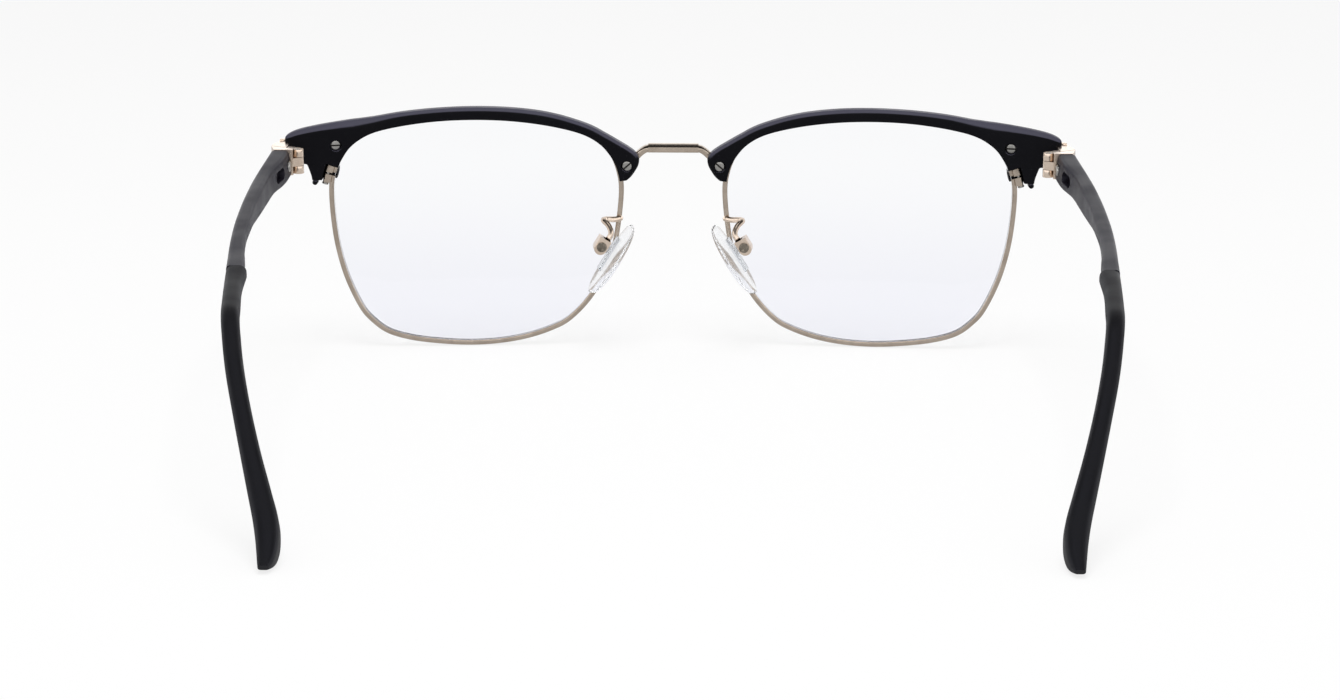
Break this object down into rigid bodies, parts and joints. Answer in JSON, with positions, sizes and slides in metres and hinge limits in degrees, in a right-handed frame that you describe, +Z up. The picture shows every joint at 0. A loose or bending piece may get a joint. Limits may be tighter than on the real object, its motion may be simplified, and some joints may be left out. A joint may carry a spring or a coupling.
{
  "type": "browline spectacles",
  "caption": "Combination spectacles with moulded brows over thin metal eyewires, folding temples with bent tips, and rocking clear nose pads.",
  "frame": {"origin": "bottom centre of the box round the open spectacles, on the plane that the eyewires and the temple tips stand on", "axes": "+X across the face to the wearer's left, +Y from the lenses back along the temples, +Z up"},
  "size_m": [0.143, 0.1354, 0.0432],
  "materials": {
    "bridge": "polished pale rose gold plating",
    "eyewire": "polished pale rose gold plating",
    "hinge_metal": "satin pale rose gold plating",
    "screw": "bright steel",
    "core_wire": "bare wire",
    "brow": "fine matte black",
    "temple": "fine matte black",
    "temple_tip": "soft matte black",
    "lens": "clear, with an antireflection coat",
    "nose_pad": "clear glossy silicone",
    "pad_mount": "clear stiff plastic"
  },
  "bodies": {
    "front": {"bridge": "bridge", "left_brow": "brow", "left_brow_screw_inner": "screw", "left_brow_screw_outer": "screw", "left_eyewire": "eyewire", "left_lens": "lens", "left_lock_screw": "screw", "left_pad_arm": "eyewire", "left_pad_screw": "screw", "left_end_piece": "hinge_metal", "left_hinge_screw": "screw", "right_brow": "brow", "right_brow_screw_inner": "screw", "right_brow_screw_outer": "screw", "right_eyewire": "eyewire", "right_lens": "lens", "right_lock_screw": "screw", "right_pad_arm": "eyewire", "right_pad_screw": "screw", "right_end_piece": "hinge_metal", "right_hinge_screw": "screw"},
    "left_temple": {"left_hinge_leaf": "hinge_metal", "left_temple_screw": "screw", "left_temple": "temple", "left_temple_tip": "temple_tip", "left_core_wire": "core_wire"},
    "left_nose_pad_piece": {"left_nose_pad": "nose_pad", "left_pad_mount": "pad_mount"},
    "right_temple": {"right_hinge_leaf": "hinge_metal", "right_temple_screw": "screw", "right_temple": "temple", "right_temple_tip": "temple_tip", "right_core_wire": "core_wire"},
    "right_nose_pad_piece": {"right_nose_pad": "nose_pad", "right_pad_mount": "pad_mount"}
  },
  "joints": [
    {"name": "left_temple_fold", "type": "hinge", "parent": "front", "child": "left_temple", "pos_m": [0.0655, -0.05273, 0.03566], "axis": [0, 0, 1], "range_deg": [0, 85]},
    {"name": "right_temple_fold", "type": "hinge", "parent": "front", "child": "right_temple", "pos_m": [-0.0655, -0.05273, 0.03566], "axis": [0, 0, -1], "range_deg": [0, 80]},
    {"name": "left_nose_pad_rock", "type": "hinge", "parent": "front", "child": "left_nose_pad_piece", "pos_m": [0.01277, -0.05914, 0.01934], "axis": [-0.118, 0.9928, -0.0184], "range_deg": [-10, 10]},
    {"name": "right_nose_pad_rock", "type": "hinge", "parent": "front", "child": "right_nose_pad_piece", "pos_m": [-0.01277, -0.05914, 0.01934], "axis": [0.118, 0.9928, -0.0184], "range_deg": [-10, 10]}
  ]
}
